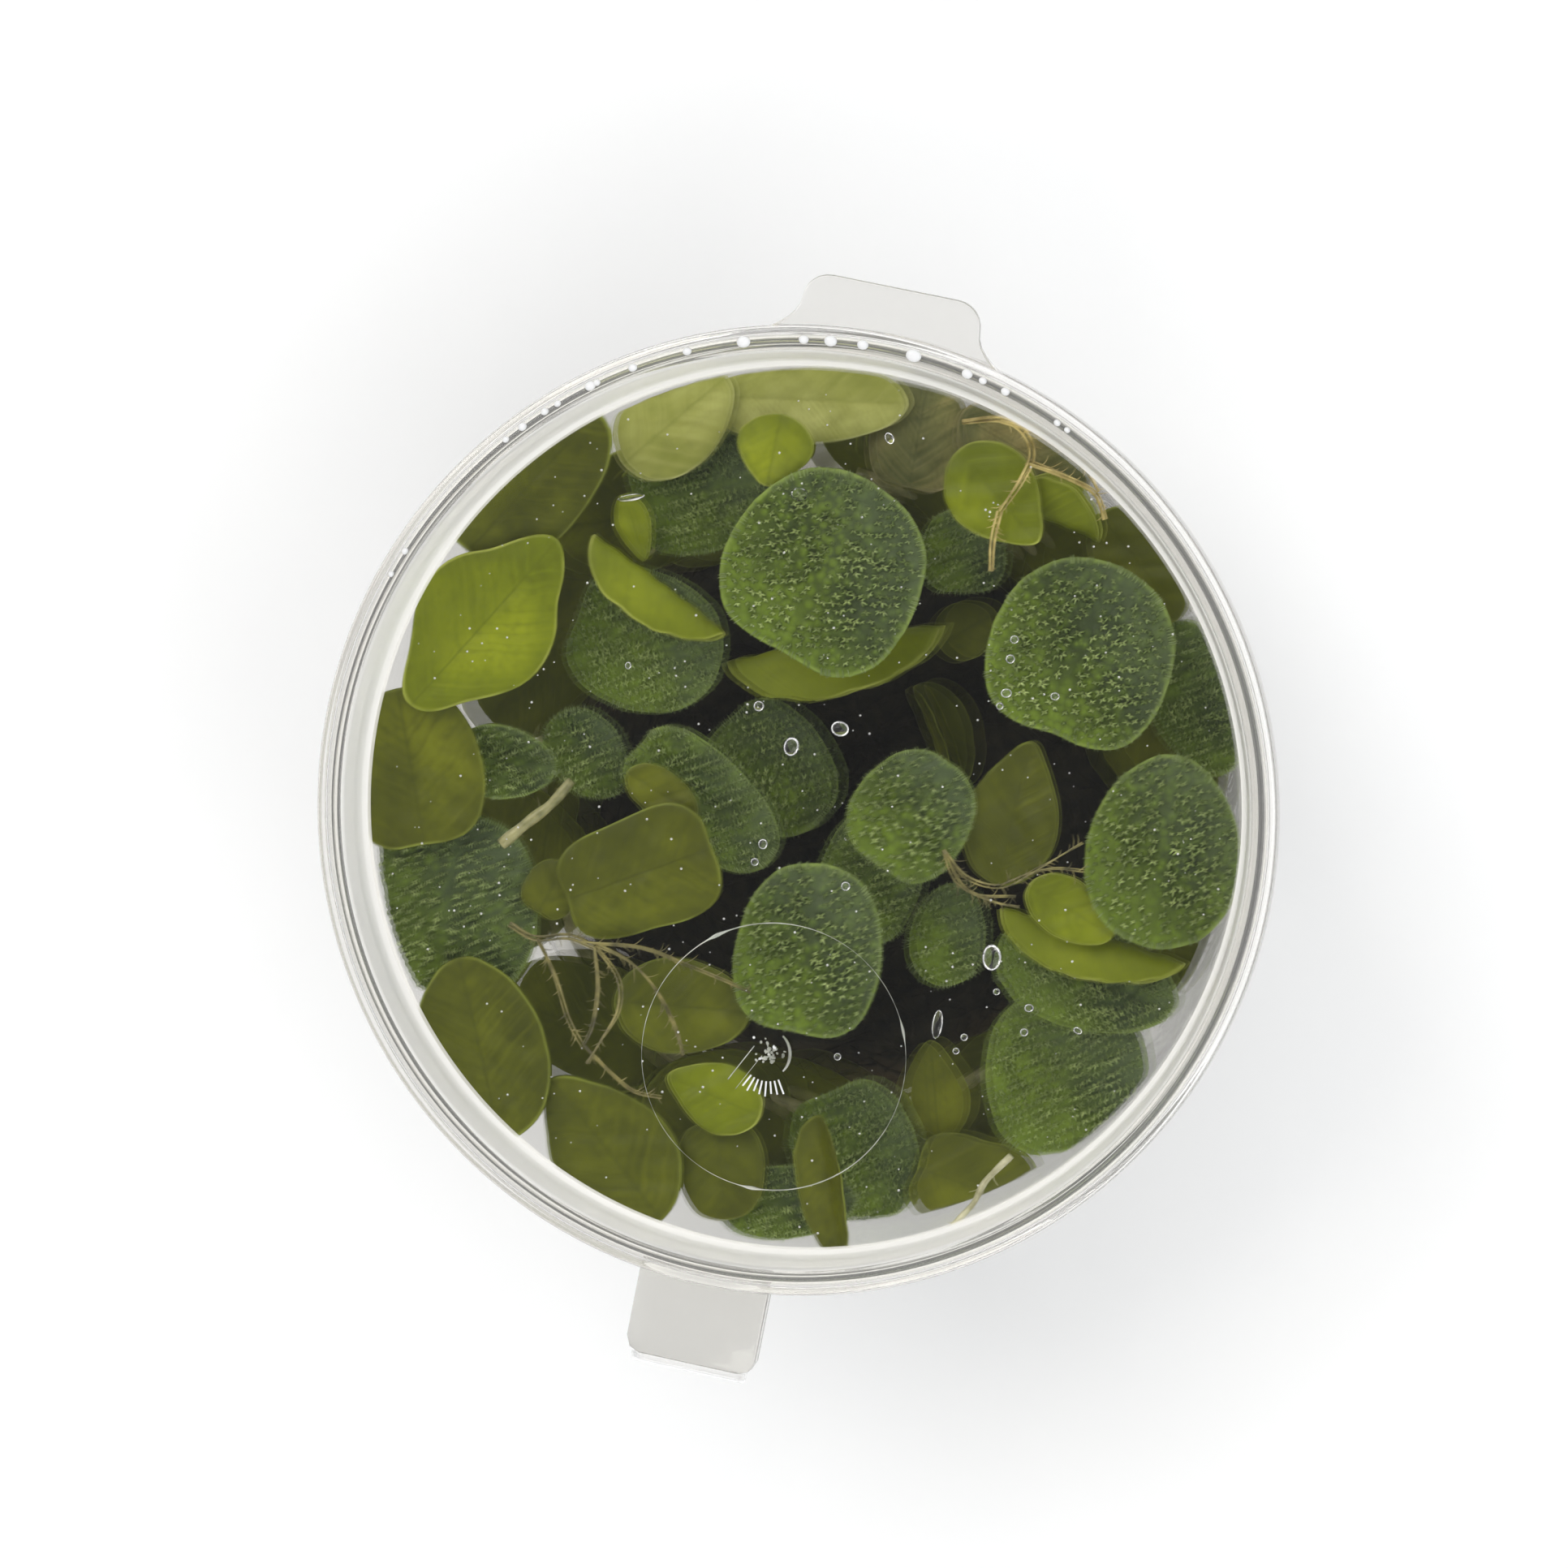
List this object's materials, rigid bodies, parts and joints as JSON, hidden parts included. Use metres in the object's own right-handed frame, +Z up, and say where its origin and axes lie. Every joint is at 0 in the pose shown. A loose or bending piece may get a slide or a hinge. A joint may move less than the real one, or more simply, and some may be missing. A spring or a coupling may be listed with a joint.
{
  "type": "clear plastic pot of eared watermoss",
  "caption": "Small clear pot with a hinged recessed lid, packed with wet round-leaved fronds and roots of eared watermoss.",
  "frame": {"origin": "middle of the underside of the pot's flat base, on the pot's axis", "axes": "+Z up along the pot's axis, towards the lid; +Y towards the lid's opening tab, with the hinge strap at -Y; +X to the right of the tab seen from above"},
  "size_m": [0.062, 0.0703, 0.0308],
  "materials": {
    "clear_plastic": "clear and glossy, a little cloudy",
    "hairy_leaf": "matt, covered in short water-repelling hairs",
    "smooth_leaf": "wet satin",
    "bright_leaf": "wet satin",
    "pale_leaf": "wet satin",
    "brown_leaf": "soft and decayed",
    "root": "wet fibre",
    "dark_root": "wet dark fibre"
  },
  "bodies": {
    "pot": {"pot": "clear_plastic", "roots_left": "root", "roots_right": "root", "roots_top": "root", "stem_left": "root", "stem_bottom": "root", "leaf_left_bright": "bright_leaf", "leaf_left_wall_olive": "smooth_leaf", "leaf_rim_dark": "smooth_leaf", "leaf_left_wall_smooth": "smooth_leaf", "leaf_centre_cupped": "hairy_leaf", "leaf_upper_right_round": "hairy_leaf", "leaf_right_oval": "hairy_leaf", "leaf_middle_tall": "hairy_leaf", "leaf_centre_round": "hairy_leaf", "leaf_lower_left_large": "smooth_leaf", "leaf_left_olive": "smooth_leaf", "leaf_upper_left_narrow": "bright_leaf", "leaf_upper_left_strip": "bright_leaf", "leaf_top_kite": "bright_leaf", "leaf_upper_right_kite": "bright_leaf", "leaf_upper_right_fold": "bright_leaf", "leaf_right_small_bright": "bright_leaf", "leaf_right_crescent": "bright_leaf", "leaf_lower_bright": "bright_leaf", "leaf_right_rim_olive": "smooth_leaf", "leaf_top_left_pale": "pale_leaf", "leaf_top_rim_pale": "pale_leaf", "leaf_upper_right_brown": "brown_leaf", "leaf_top_decayed": "brown_leaf", "leaf_right_midrib": "smooth_leaf", "leaf_left_under": "smooth_leaf", "leaf_left_two_lobed": "hairy_leaf", "leaf_left_cup": "hairy_leaf", "leaf_left_grey": "hairy_leaf", "leaf_left_dark_round": "hairy_leaf", "leaf_centre_crescent": "bright_leaf", "leaf_left_lower_olive": "smooth_leaf", "leaf_lower_right_round": "hairy_leaf", "leaf_right_dark_crescent": "hairy_leaf", "leaf_bottom_right_olive": "smooth_leaf", "leaf_lower_smooth": "smooth_leaf", "leaf_bottom_long_fold": "smooth_leaf", "leaf_bottom_dark": "hairy_leaf", "leaf_lower_hairy": "hairy_leaf", "leaf_lower_tip": "smooth_leaf", "leaf_centre_small_dark": "hairy_leaf", "leaf_centre_fold": "smooth_leaf", "leaf_top_hairy": "hairy_leaf", "leaf_left_small_dark": "smooth_leaf", "leaf_left_wall_hairy": "hairy_leaf", "leaf_upper_dark_hairy": "hairy_leaf", "leaf_upper_khaki": "smooth_leaf", "leaf_right_wall_hairy": "hairy_leaf", "leaf_centre_behind": "hairy_leaf", "leaf_centre_dark_lobe": "hairy_leaf", "lower_frond_1": "smooth_leaf", "lower_frond_2": "smooth_leaf", "root_tangle": "dark_root"},
    "lid": {"lid": "clear_plastic"}
  },
  "joints": [
    {"name": "lid_hinge", "type": "hinge", "parent": "pot", "child": "lid", "pos_m": [0, -0.0364, 0.0286], "axis": [1, 0, 0], "range_deg": [0, 180]}
  ]
}
